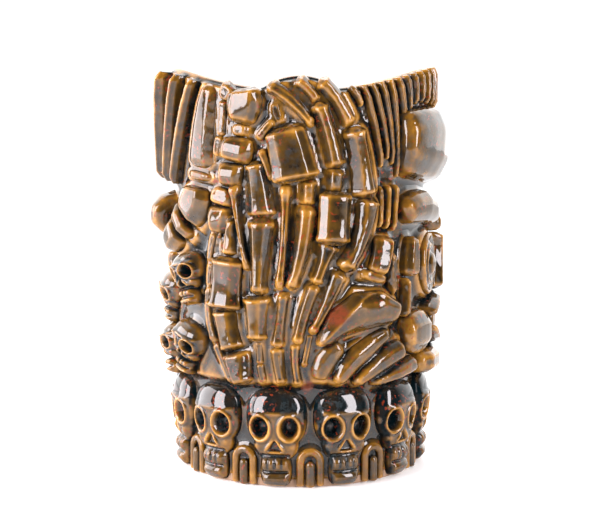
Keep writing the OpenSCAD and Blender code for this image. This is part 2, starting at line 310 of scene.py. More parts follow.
def from_line(points: np.ndarray, line: tuple[tuple[float, float], ...]) -> np.ndarray:
    """Measure how far points lie from a bent line on the wall of either flank.

    Args:
        points: One row for each point.
        line: Angle and height of each of the line's corners, on the near flank.

    Returns:
        One distance for each point.
    """
    folded = angle_of(points * [1.0, -1.0, 1.0] if points[:, 1].mean() > 0 else points)
    spot = np.stack([np.radians(folded) * SEAT.wall_r, points[:, 2]], axis=1)
    corners = [np.array([math.radians(a) * SEAT.wall_r, z]) for a, z in line]
    nearest = np.full(len(points), np.inf)
    for start, end in zip(corners, corners[1:]):
        run = end - start
        share = np.clip((spot - start) @ run / (run @ run), 0.0, 1.0)
        nearest = np.minimum(nearest, np.linalg.norm(spot - start - share[:, None] * run, axis=1))
    return nearest


# ---- Finishes ----


class Slot(Enum):
    """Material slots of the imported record."""

    DARK = "dark_glaze"
    AMBER = "amber_glaze"
    CLAY = "bare_clay"


class NodeGraph:
    """A thin wrapper that adds and joins shader nodes."""

    def __init__(self, owner: bpy.types.Material | bpy.types.World) -> None:
        """Empty the owner's node tree.

        Args:
            owner: The material or world to build in.
        """
        owner.use_nodes = True
        self.tree = owner.node_tree
        self.tree.nodes.clear()

    def node(self, kind: str, **settings: object) -> bpy.types.Node:
        """Add a node.

        Args:
            kind: Its type name.
            settings: Attributes to set on it.

        Returns:
            The node.
        """
        made = self.tree.nodes.new(kind)
        for key, value in settings.items():
            setattr(made, key, value)
        return made

    def join(self, source: Socket, target: Socket) -> None:
        """Link two sockets."""
        self.tree.links.new(source, target)

    def noise(self, scale: float, detail: float, roughness: float = 0.5) -> Socket:
        """Add a noise pattern on the object's own coordinates.

        Args:
            scale: Waves in a metre.
            detail: Octaves.
            roughness: Strength of the finer octaves.

        Returns:
            The socket that gives a number from 0 to 1.
        """
        place = self.node("ShaderNodeTexCoord")
        pattern = self.node("ShaderNodeTexNoise")
        pattern.inputs["Scale"].default_value = scale
        pattern.inputs["Detail"].default_value = detail
        pattern.inputs["Roughness"].default_value = roughness
        self.join(place.outputs["Object"], pattern.inputs["Vector"])
        return pattern.outputs["Fac"]

    def span(self, value: Socket, low: float, high: float, to: float = 1.0) -> Socket:
        """Map a range of a number to 0 and up, clamped.

        Args:
            value: The number.
            low: What becomes 0.
            high: What becomes the top value.
            to: The top value.

        Returns:
            The mapped number.
        """
        mapped = self.node("ShaderNodeMapRange")
        mapped.inputs["From Min"].default_value = low
        mapped.inputs["From Max"].default_value = high
        mapped.inputs["To Min"].default_value = 0.0
        mapped.inputs["To Max"].default_value = to
        self.join(value, mapped.inputs["Value"])
        return mapped.outputs["Result"]

    def maths(self, kind: str, first: Socket, second: Socket | float) -> Socket:
        """Combine two numbers.

        Args:
            kind: The operation.
            first: One number.
            second: The other number.

        Returns:
            The result.
        """
        made = self.node("ShaderNodeMath", operation=kind)
        self.join(first, made.inputs[0])
        if isinstance(second, float):
            made.inputs[1].default_value = second
        else:
            self.join(second, made.inputs[1])
        return made.outputs[0]

    def blend(self, share: Socket, first: Socket, second: Colour) -> Socket:
        """Mix a colour towards a fixed one.

        Args:
            share: How far, from 0 to 1.
            first: The colour to start from.
            second: The colour to go towards.

        Returns:
            The mixed colour.
        """
        # A mix node has sockets for every kind of value: these three are the colour's.
        from_colour, to_colour, mixed_colour = 6, 7, 2
        made = self.node("ShaderNodeMix", data_type="RGBA")
        self.join(share, made.inputs["Factor"])
        self.join(first, made.inputs[from_colour])
        made.inputs[to_colour].default_value = (*second, 1.0)
        return made.outputs[mixed_colour]

    def ripple(self, height: Socket, strength: float, depth: float) -> Socket:
        """Tilt the surface by a pattern.

        Args:
            height: The pattern.
            strength: How much of the tilt shows.
            depth: Height of the pattern's ripples.

        Returns:
            The tilted normal.
        """
        bump = self.node("ShaderNodeBump")
        bump.inputs["Strength"].default_value = strength
        bump.inputs["Distance"].default_value = depth
        self.join(height, bump.inputs["Height"])
        return bump.outputs["Normal"]

    def surface(self, roughness: float) -> bpy.types.Node:
        """Add the shader and join it to the material's surface.

        Args:
            roughness: How dull the surface is.

        Returns:
            The shader.
        """
        shader = self.node("ShaderNodeBsdfPrincipled")
        shader.inputs["Roughness"].default_value = roughness
        output = self.node("ShaderNodeOutputMaterial")
        self.join(shader.outputs["BSDF"], output.inputs["Surface"])
        return shader


@dataclass(frozen=True)
class ReactiveGlaze:
    """A glossy glaze that is amber where it lies thin and teal-black where it pools."""

    name: str = "reactive_glaze"
    thin: Colour = (0.42, 0.21, 0.038)
    amber: Colour = (0.205, 0.092, 0.011)
    olive: Colour = (0.066, 0.034, 0.006)
    dark: Colour = (0.012, 0.009, 0.006)
    pool: Colour = (0.002, 0.007, 0.009)
    stops: tuple[float, ...] = (0.0, 0.26, 0.5, 0.72, 1.0)
    mottle: Colour = (0.030, 0.042, 0.047)
    mottle_share: float = 0.55
    speck: Colour = (0.20, 0.030, 0.010)
    speck_share: float = 0.85
    rust: Colour = (0.15, 0.035, 0.014)
    drift: float = 0.34
    roughness: float = 0.06
    refraction: float = 1.56
    ripple: float = 0.25
    ripple_depth: float = 0.25 * MM

    def material(self) -> bpy.types.Material:
        """Build the node material.

        The attribute holds thickness in red, rust in green and the mirror's strength in blue,
        which is dimmed in hollows as painted shade.

        Returns:
            The material.
        """
        made = bpy.data.materials.new(self.name)
        graph = NodeGraph(made)
        glaze = graph.node("ShaderNodeAttribute", attribute_name=GLAZE_ATTRIBUTE)
        parts = graph.node("ShaderNodeSeparateColor")
        graph.join(glaze.outputs["Color"], parts.inputs["Color"])
        wander = graph.span(graph.noise(110.0, 4.0, 0.6), 0.28, 0.72, self.drift)
        thick = graph.maths("ADD", parts.outputs["Red"], wander)
        thick = graph.maths("SUBTRACT", thick, self.drift / 2)
        colour = self.by_thickness(graph, thick)
        colour = graph.blend(self.mottling(graph, thick), colour, self.mottle)
        colour = graph.blend(self.specks(graph), colour, self.speck)
        frayed = graph.span(graph.noise(500.0, 3.0, 0.7), 0.25, 0.55)
        rusty = graph.maths("MULTIPLY", parts.outputs["Green"], frayed)
        colour = graph.blend(rusty, colour, self.rust)
        waves = graph.ripple(graph.noise(240.0, 2.0, 0.4), self.ripple, self.ripple_depth)
        shader = graph.surface(self.roughness)
        shader.inputs["IOR"].default_value = self.refraction
        # The blue channel sets the mirror's strength, lowered in hollows as painted shade.
        graph.join(parts.outputs["Blue"], shader.inputs["Specular IOR Level"])
        graph.join(colour, shader.inputs["Base Color"])
        graph.join(waves, shader.inputs["Normal"])
        return made

    def by_thickness(self, graph: NodeGraph, thick: Socket) -> Socket:
        """Colour the glaze by how thick it lies.

        Args:
            graph: The material's nodes.
            thick: The thickness, 0 to 1.

        Returns:
            The colour.
        """
        ramp = graph.node("ShaderNodeValToRGB")
        graph.join(thick, ramp.inputs["Fac"])
        stops = ramp.color_ramp.elements
        colours = (self.thin, self.amber, self.olive, self.dark, self.pool)
        while len(stops) < len(colours):
            stops.new(0.5)
        for stop, place, colour in zip(stops, self.stops, colours):
            stop.position = place
            stop.color = (*colour, 1.0)
        return ramp.outputs["Color"]

    def mottling(self, graph: NodeGraph, thick: Socket) -> Socket:
        """Say how strongly the blue-grey mottle shows: in patches, and where glaze is thick.

        Args:
            graph: The material's nodes.
            thick: The thickness, 0 to 1.

        Returns:
            The mottle's share.
        """
        flecks = graph.span(graph.noise(420.0, 3.0, 0.65), 0.47, 0.60, self.mottle_share)
        patches = graph.span(graph.noise(60.0, 2.0), 0.40, 0.62)
        mottled = graph.maths("MULTIPLY", flecks, patches)
        return graph.maths("MULTIPLY", mottled, graph.span(thick, 0.18, 0.55))

    def specks(self, graph: NodeGraph) -> Socket:
        """Say where the red specks lie.

        Args:
            graph: The material's nodes.

        Returns:
            The specks' share.
        """
        dots = graph.span(graph.noise(800.0, 1.0, 0.4), 0.62, 0.69, self.speck_share)
        patches = graph.span(graph.noise(95.0, 2.0), 0.42, 0.60)
        return graph.maths("MULTIPLY", dots, patches)


@dataclass(frozen=True)
class BareClay:
    """Dry, unglazed stoneware."""

    name: str = "bare_stoneware"
    light: Colour = (0.42, 0.28, 0.19)
    deep: Colour = (0.25, 0.15, 0.09)
    roughness: float = 0.85
    grain: float = 0.4
    grain_depth: float = 0.15 * MM

    def material(self) -> bpy.types.Material:
        """Build the node material.

        Returns:
            The material.
        """
        made = bpy.data.materials.new(self.name)
        graph = NodeGraph(made)
        ramp = graph.node("ShaderNodeValToRGB")
        ramp.color_ramp.elements[0].color = (*self.deep, 1.0)
        ramp.color_ramp.elements[1].color = (*self.light, 1.0)
        sand = graph.noise(900.0, 5.0, 0.7)
        graph.join(sand, ramp.inputs["Fac"])
        shader = graph.surface(self.roughness)
        graph.join(ramp.outputs["Color"], shader.inputs["Base Color"])
        grain = graph.ripple(sand, self.grain, self.grain_depth)
        graph.join(grain, shader.inputs["Normal"])
        return made


class GlazeDepth:
    """Works out glaze thickness per vertex, and painted shade that dims its mirror in hollows."""

    reach: float = 5 * MM
    stand_off: float = 0.55 * MM
    # How far each feeler leans off the normal, sideways and upwards.
    feelers: tuple[tuple[float, float], ...] = (
        (0.0, 0.0),
        (1.3, 0.0),
        (-1.3, 0.0),
        (0.0, 1.3),
        (0.0, -1.3),
        (2.4, 1.2),
        (-2.4, 1.2),
    )
    far_loss: float = 0.6
    flat: float = 0.60
    pooled: float = 0.42
    pooled_span: tuple[float, float] = (0.12, 0.60)
    edge_loss: float = 0.36
    edge_size: float = 0.085 * MM
    swell_loss: float = 0.04
    swell_size: float = 0.38 * MM
    curve_limits: tuple[float, float] = (-0.6, 1.3)
    edge_rounds: int = 4
    swell_rounds: int = 24
    mirror: float = 0.43
    # Painted shade: the mirror is dimmed where the surface is closed in, from the shelter
    # measure.
    painted_shade_mirror_loss: float = 0.39
    painted_shade_span: tuple[float, float] = (0.14, 0.46)

    def __init__(self) -> None:
        """Build the search trees of the CAD solids: all, the hands' bones, and other relief."""
        bare = ("vessel_wall", "vessel_floor", "foot_ring", "rim_crests")
        relief = [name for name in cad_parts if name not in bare]
        flanks = [name for name in relief if name.startswith(("near_", "far_"))]
        bones = [name for name in flanks if "hair" not in name]
        self.tree = self.tree_of(list(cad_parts))
        self.bones = self.tree_of(bones)
        self.ornament = self.tree_of([name for name in relief if name not in bones])

    def tree_of(self, names: list[str]) -> BVHTree:
        """Build one search tree of several CAD nodes.

        Args:
            names: The CAD nodes.

        Returns:
            The tree.
        """
        points: list[Vector] = []
        faces: list[tuple[int, ...]] = []
        for name in names:
            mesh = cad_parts[name].data
            start = len(points)
            points.extend(v.co.copy() for v in mesh.vertices)
            faces.extend(tuple(start + i for i in p.vertices) for p in mesh.polygons)
        return BVHTree.FromPolygons(points, faces)

    def shelter(self, points: np.ndarray, facing: np.ndarray) -> np.ndarray:
        """Measure how closed in each vertex is.

        Args:
            points: The vertices.
            facing: Their normals.

        Returns:
            0 in the open to 1 in a deep hollow, for each vertex.
        """
        side = np.cross(facing, [0.0, 0.0, 1.0])
        side /= np.maximum(np.linalg.norm(side, axis=1), 1e-6)[:, None]
        up = np.cross(side, facing)
        starts = (points + facing * self.stand_off).tolist()
        total = np.zeros(len(points))
        for across, along in self.feelers:
            ways = facing + side * across + up * along
            ways /= np.linalg.norm(ways, axis=1)[:, None]
            for i, (start, way) in enumerate(zip(starts, ways.tolist())):
                distance = self.tree.ray_cast(start, way, self.reach)[3]
                if distance is not None:
                    total[i] += 1 - self.far_loss * distance / self.reach
        return total / len(self.feelers)

    def dress(self, piece: Piece, thicker: float = 0.0, rust: np.ndarray | None = None) -> None:
        """Store the glaze's thickness, its rust, and its mirror strength with painted shade in
        hollows.

        Args:
            piece: The finished mesh.
            thicker: How much thicker the glaze lies on this piece than usual.
            rust: How rusty the glaze is at each vertex, or nothing.
        """
        mesh = piece.data
        points = coordinates(mesh)
        facing = normals(mesh)
        fine = points - relaxed(mesh, points, self.edge_rounds)
        broad = points - relaxed(mesh, points, self.swell_rounds)
        edge = np.einsum("ij,ij->i", fine, facing) / self.edge_size
        swell = np.einsum("ij,ij->i", broad, facing) / self.swell_size
        edge, swell = np.clip(edge, *self.curve_limits), np.clip(swell, *self.curve_limits)
        shelter = self.shelter(points, facing)
        thick = self.flat + self.pooled * smooth_step(shelter, *self.pooled_span)
        thick = thick - self.edge_loss * edge - self.swell_loss * swell + thicker
        thick = relaxed(mesh, thick[:, None], 2)[:, 0]
        colours = np.zeros((len(points), 4))
        colours[:, 0] = np.clip(thick, 0.0, 1.0)
        colours[:, 1] = 0.0 if rust is None else rust
        # Painted shade: the mirror is weakened where the vertex is sheltered, dimming reflections
        # in hollows.
        colours[:, 2] = self.mirror - self.painted_shade_mirror_loss * smooth_step(shelter, *self.painted_shade_span)
        colours[:, 3] = 1.0
        layer = mesh.attributes.new(GLAZE_ATTRIBUTE, "FLOAT_COLOR", "POINT")
        layer.data.foreach_set("color", colours.astype(np.float32).ravel())
        LOG.info(
            "%s: %d faces, shelter %.2f, thickness %.2f",
            piece.name,
            len(mesh.polygons),
            shelter.mean(),
            thick.mean(),
        )


# ---- Carved bones ----


@dataclass(frozen=True)
class BoneCarving:
    """How the bones of one node are carved out of their plain CAD solids.

    Flare and waist are shares of a bone's width, and polish is rounds of smoothing. Spread widens
    the flanks, crown rounds the outer face, and a crest is raised along a bent line of angles and
    heights. Coarse is the largest quad, and thicker adds to the glaze.
    """

    flare: float = 0.05
    waist: float = 0.05
    spread: float = 0.9 * MM
    crown: float = 1.1 * MM
    polish: int = 5
    thicker: float = 0.0
    coarse: float = 0.5 * MM
    crest: tuple[tuple[float, float], ...] = ()
    crest_high: float = 1.5 * MM
    crest_wide: float = 2.0 * MM


@dataclass(frozen=True)
class RustPatch:
    """A round spot of the wall where the glaze is rusty."""

    degrees: float
    height: float
    radius: float

    def share(self, points: np.ndarray) -> np.ndarray:
        """Say how rusty points are.

        Args:
            points: One row for each point.

        Returns:
            1 in the middle of the patch to 0 outside it.
        """
        along = np.radians(angle_of(points) - self.degrees) * SEAT.wall_r
        away = np.hypot(along, points[:, 2] - self.height)
        return 1 - smooth_step(away, self.radius * 0.45, self.radius)


class Relief:
    """Turns the CAD solids of one node into one finished, glazed piece."""

    merge: float = 0.002 * MM
    finest: float = 0.28 * MM
    voxel_share: float = 0.22

    def __init__(self, depth: GlazeDepth, glaze: bpy.types.Material) -> None:
        """Keep what every piece needs.

        Args:
            depth: The glaze's thickness.
            glaze: The glaze's material.
        """
        self.depth = depth
        self.glaze = glaze

    def loose_solids(self, node: str) -> list[Piece]:
        """Copy a CAD node, merge its loose triangles and part it into its solids.

        Args:
            node: The CAD node's name.

        Returns:
            One object for each solid.
        """
        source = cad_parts[node]
        copy = bpy.data.objects.new(f"{node}_solid", source.data.copy())
        copy.data.materials.clear()
        bpy.context.scene.collection.objects.link(copy)
        only(copy)
        bpy.ops.object.mode_set(mode="EDIT")
        bpy.ops.mesh.select_all(action="SELECT")
        bpy.ops.mesh.remove_doubles(threshold=self.merge)
        bpy.ops.mesh.separate(type="LOOSE")
        bpy.ops.object.mode_set(mode="OBJECT")
        return list(bpy.context.selected_objects)

    def remesh(self, solid: Piece, voxel: float, polish: int) -> None:
        """Give a solid an even mesh of small quads.

        Args:
            solid: The object.
            voxel: Size of a quad.
            polish: Rounds of smoothing.
        """
        only(solid)
        even = solid.modifiers.new("even", "REMESH")
        even.mode = "VOXEL"
        even.voxel_size = voxel
        bpy.ops.object.modifier_apply(modifier=even.name)
        soft = solid.modifiers.new("soft", "SMOOTH")
        soft.factor = 0.5
        soft.iterations = polish
        bpy.ops.object.modifier_apply(modifier=soft.name)

    def carve(self, solid: Piece, carving: BoneCarving) -> None:
        """Flare a bone's ends, draw in its middle and round its outer face.

        Args:
            solid: The evenly meshed bone.
            carving: The proportions.
        """
        mesh = solid.data
        points = coordinates(mesh)
        facing = normals(mesh)
        centre = points.mean(axis=0)
        long_way, cross_way, _ = np.linalg.svd(points - centre, full_matrices=False)[2]
        along = (points - centre) @ long_way
        along = 2 * (along - along.min()) / np.ptp(along) - 1
        across = (points - centre) @ cross_way
        width = np.ptp(across)

        # The flare and the waist leave the end caps and what is bedded in the wall alone.
        shank = 1 - smooth_step(np.abs(facing @ long_way), 0.45, 0.8)
        over_wall = radial(points) - SEAT.radius(points[:, 2])
        proud = smooth_step(over_wall, -0.2 * MM, 1.2 * MM)
        knobs = smooth_step(np.abs(along), 0.70, 0.92)
        waist = carving.waist * (1 - along**2) * (1 - knobs)
        grow = width * (carving.flare * knobs - waist) * shank * proud

        # The flanks spread towards their neighbours, and the outer face is crowned.
        outer = points * [1.0, 1.0, 0.0] / radial(points)[:, None]
        face = np.clip(np.einsum("ij,ij->i", facing, outer), 0.0, 1.0)
        grow = grow + carving.spread * (1 - face) * smooth_step(proud, 0.0, 0.3)
        arc = np.clip(1 - (2 * across / width) ** 2, 0.0, 1.0)
        crown = carving.crown * arc * smooth_step(face, 0.2, 0.9) * (1 - 0.6 * knobs)
        if carving.crest:
            ridge = np.exp(-from_line(points, carving.crest) / carving.crest_wide)
            crown += carving.crest_high * ridge * smooth_step(face, 0.1, 0.5)
        set_coordinates(mesh, points + facing * grow[:, None] + outer * crown[:, None])

    def make(self, node: str, carving: BoneCarving, rust: RustPatch | None = None) -> Piece:
        """Build the finished piece for a node.

        Args:
            node: The CAD node's name.
            carving: How its bones are carved.
            rust: A rusty patch, or nothing.

        Returns:
            The piece.
        """
        solids = self.loose_solids(node)
        for solid in solids:
            points = coordinates(solid.data)
            spans = np.linalg.svd(points - points.mean(axis=0), compute_uv=False)
            breadth = spans[1] / math.sqrt(len(points))
            voxel = float(np.clip(breadth * self.voxel_share, self.finest, carving.coarse))
            self.remesh(solid, voxel, carving.polish)
            self.carve(solid, carving)
        only(*solids)
        if len(solids) > 1:
            bpy.ops.object.join()
        piece = bpy.context.view_layer.objects.active
        piece.name = f"{node}_relief"
        piece.data.name = piece.name
        return self.finish(piece, node, carving.thicker, rust)

    def finish(
        self, piece: Piece, node: str, thicker: float = 0.0, rust: RustPatch | None = None
    ) -> Piece:
        """Shade, glaze and place a finished mesh.

        Args:
            piece: The piece.
            node: The CAD node that it stands for.
            thicker: How much thicker the glaze lies on it.
            rust: A rusty patch, or nothing.

        Returns:
            The piece.
        """
        only(piece)
        bpy.ops.object.shade_smooth()
        self.depth.dress(piece, thicker, rust.share(coordinates(piece.data)) if rust else None)
        piece.data.materials.clear()
        piece.data.materials.append(self.glaze)
        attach(piece, BODY)
        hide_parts(node)
        return piece


# ---- The vessel ----


@dataclass
class Vessel:
    """The wall with its wavy rim, the floor and the foot."""

    relief: Relief
    clay: bpy.types.Material
    rim_peak: float = 155.5 * MM
    rim_dip: float = 142.5 * MM
    crest_top: float = 147.6 * MM
    crest_r: float = 24 * MM
    crest_blend: float = 0.8 * MM
    lip_t: float = 4.2 * MM
    inside_r: float = 43.5 * MM
    foot_h: float = 3 * MM
    fill_h: float = 3.0 * MM
    fill_w: float = 2.4 * MM
    fillet_h: float = 0.9 * MM
    fillet_w: float = 1.2 * MM
    low_fill: float = 0.6
    low_to: float = 44 * MM
    full_from: float = 60 * MM
    columns: int = 400
    outer_rows: int = 188
    lip_rows: int = 9
    inner_rows: int = 36
    inside_lean: float = 40 * MM
    cove: float = 5 * MM
    floor_steps: int = 96
    axis_hole: float = 0.2 * MM
    worn_edge: float = 0.5 * MM
    rust: RustPatch = RustPatch(3.2, 37.5 * MM, 3 * MM)

    def rim_height(self, degrees: np.ndarray) -> np.ndarray:
        """Give the rim's height at angles on the mug.

        Args:
            degrees: The angles.

        Returns:
            Heights.
        """
        across = SEAT.lip_r * np.sin(np.radians(degrees))
        rise = self.rim_peak - self.rim_dip
        cut_r = (SEAT.lip_r**2 + rise**2) / (2 * rise)
        wave = self.rim_dip + cut_r - np.sqrt(cut_r**2 - across**2)
        under = np.clip(self.crest_r**2 - across**2, 0.0, None)
        crest = self.crest_top - self.crest_r + np.sqrt(under)
        crest = np.where(np.abs(across) < self.crest_r * 0.98, crest, 0.0)
        return smooth_max(wave, crest, self.crest_blend)

    def wall(self) -> Piece:
        """Build the wall: fillets where relief meets it, a round lip and a smooth inside.

        Returns:
            The piece.
        """
        degrees = np.linspace(-180, 180, self.columns, endpoint=False)
        half = self.lip_t / 2
        top = self.rim_height(degrees) - half
        rows: list[tuple[np.ndarray, np.ndarray]] = []
        for share in np.linspace(0, 1, self.outer_rows):
            z = self.foot_h + (top - self.foot_h) * share
            rows.append((SEAT.radius(z), z))
        for turn in np.radians(np.linspace(0, 180, self.lip_rows + 2)[1:-1]):
            reach = SEAT.lip_r - half + half * math.cos(turn)
            rows.append((np.full_like(top, reach), top + half * math.sin(turn)))
        lean = [self.inside_lean, SEAT.lean_to], [self.inside_r, SEAT.lip_r - self.lip_t]
        for share in np.linspace(0, 1, self.inner_rows):
            z = top + (self.foot_h - top) * share
            rows.append((np.interp(z, *lean), z))
        radius = np.array([r for r, _ in rows])
        height = np.array([z for _, z in rows])
        angle = np.radians(degrees)[None, :]
        spots = np.stack([radius * np.sin(angle), -radius * np.cos(angle), height], axis=2)
        outer = self.filleted(spots[: self.outer_rows].reshape(-1, 3))
        spots[: self.outer_rows] = outer.reshape(self.outer_rows, self.columns, 3)
        faces = lattice_faces(len(rows), self.columns, closed=True)
        last = (len(rows) - 1) * self.columns
        for j in range(self.columns):
            beside = (j + 1) % self.columns
            faces.append((last + j, last + beside, beside, j))
        piece = new_object("vessel_wall_cast", spots.reshape(-1, 3), faces)
        outward(piece)
        self.relief.finish(piece, "vessel_wall", rust=self.rust)
        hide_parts("rim_crests")
        return piece

    def filleted(self, points: np.ndarray) -> np.ndarray:
        """Raise the outer wall into a fillet next to the relief, lower down near the skulls.

        Args:
            points: Vertices of the outer wall.

        Returns:
            The raised vertices.
        """
        depth = self.relief.depth
        lift = np.zeros(len(points))
        for tree, high, wide in (
            (depth.bones, self.fill_h, self.fill_w),
            (depth.ornament, self.fillet_h, self.fillet_w),
        ):
            for i, point in enumerate(points.tolist()):
                found = tree.find_nearest(point, 3 * wide)[3]
                if found is not None:
                    lift[i] = max(lift[i], high * math.exp(-((found / wide) ** 2)))
        full = smooth_step(points[:, 2], self.low_to, self.full_from)
        lift *= self.low_fill + (1 - self.low_fill) * full
        outwards = points * [1.0, 1.0, 0.0] / radial(points)[:, None]
        return points + outwards * lift[:, None]

    def floor(self) -> Piece:
        """Build the floor with a cove where it meets the wall.

        Returns:
            The piece.
        """
        low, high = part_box("vessel_floor")
        flat = self.inside_r - self.cove
        outline = [(self.axis_hole, high.z), (flat, high.z)]
        for turn in range(10, 91, 10):
            a = math.radians(turn)
            rise = self.cove * (1 - math.cos(a))
            outline.append((flat + self.cove * math.sin(a), high.z + rise))
        outline += [(self.inside_r, low.z), (self.axis_hole, low.z)]
        points = []
        for radius, z in outline:
            for j in range(self.floor_steps):
                a = 2 * math.pi * j / self.floor_steps
                points.append((radius * math.cos(a), radius * math.sin(a), z))
        faces = lattice_faces(len(outline), self.floor_steps, closed=True)
        first_ring = range(self.floor_steps)
        last = (len(outline) - 1) * self.floor_steps
        faces += [tuple(first_ring), tuple(last + j for j in first_ring)]
        piece = new_object("vessel_floor_cast", np.array(points), faces)
        outward(piece)
        self.relief.finish(piece, "vessel_floor", thicker=0.3)
        shade_crisply(piece)
        return piece

    def foot(self) -> Piece:
        """Build the foot ring, with its edges worn round.

        Returns:
            The piece.
        """
        solid = self.relief.loose_solids("foot_ring")[0]
        only(solid)
        edge = solid.modifiers.new("edge", "BEVEL")
        edge.width = self.worn_edge
        edge.segments = 3
        edge.limit_method = "ANGLE"
        bpy.ops.object.modifier_apply(modifier=edge.name)
        solid.name = "foot_ring_turned"
        solid.data.materials.append(self.clay)
        shade_crisply(solid, 40)
        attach(solid, BODY)
        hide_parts("foot_ring")
        LOG.info("%s: %d faces", solid.name, len(solid.data.polygons))
        return solid


# ---- The ring of skulls ----


@dataclass(frozen=True)
class Boss:
    """A rounded block on a skull's middle line, in millimetres."""

    middle: float
    half_width: float
    half_height: float
    rise: float
    squareness: float

    def height(self, side: np.ndarray, z: np.ndarray) -> np.ndarray:
        """Give the block's height.

        Args:
            side: Distances from the skull's middle line.
            z: Heights above the table.

        Returns:
            Heights, below 0 outside the block's outline.
        """
        out = (side / self.half_width) ** self.squareness
        up = (np.abs(z - self.middle) / self.half_height) ** self.squareness
        inside = 1 - out - up
        return np.where(inside > 0, self.rise * np.abs(inside) ** (1 / 2.2), inside * 3.0)


@dataclass(frozen=True)
class Bar:
    """A level ridge across a skull, or a groove if its rise is below 0, in millimetres."""

    middle: float
    half_height: float
    rise: float
    full_to: float
    gone_at: float

    def height(self, side: np.ndarray, z: np.ndarray) -> np.ndarray:
        """Give what the bar adds.

        Args:
            side: Distances from the skull's middle line.
            z: Heights above the table.

        Returns:
            Heights.
        """
        profile = bell(z, self.middle, self.half_height)
        return self.rise * profile * (1 - smooth_step(side, self.full_to, self.gone_at))


def bell(value: np.ndarray, middle: float, half: float) -> np.ndarray:
    """Rise smoothly to 1 at a middle, and fall away on both sides of it.

    Args:
        value: The numbers.
        middle: Where the top is.
        half: How far from there it has fallen to about a third.

    Returns:
        Numbers from 0 to 1.
    """
    return np.exp(-(((value - middle) / half) ** 2))


@dataclass(frozen=True)
class SkullSize:
    """How a skull is stretched, and where it sits on the wall."""

    wide: float = 1.0
    tall: float = 1.0
    deep: float = 1.0
    seat_r: float = SEAT.band_r
    lift: float = 0.0


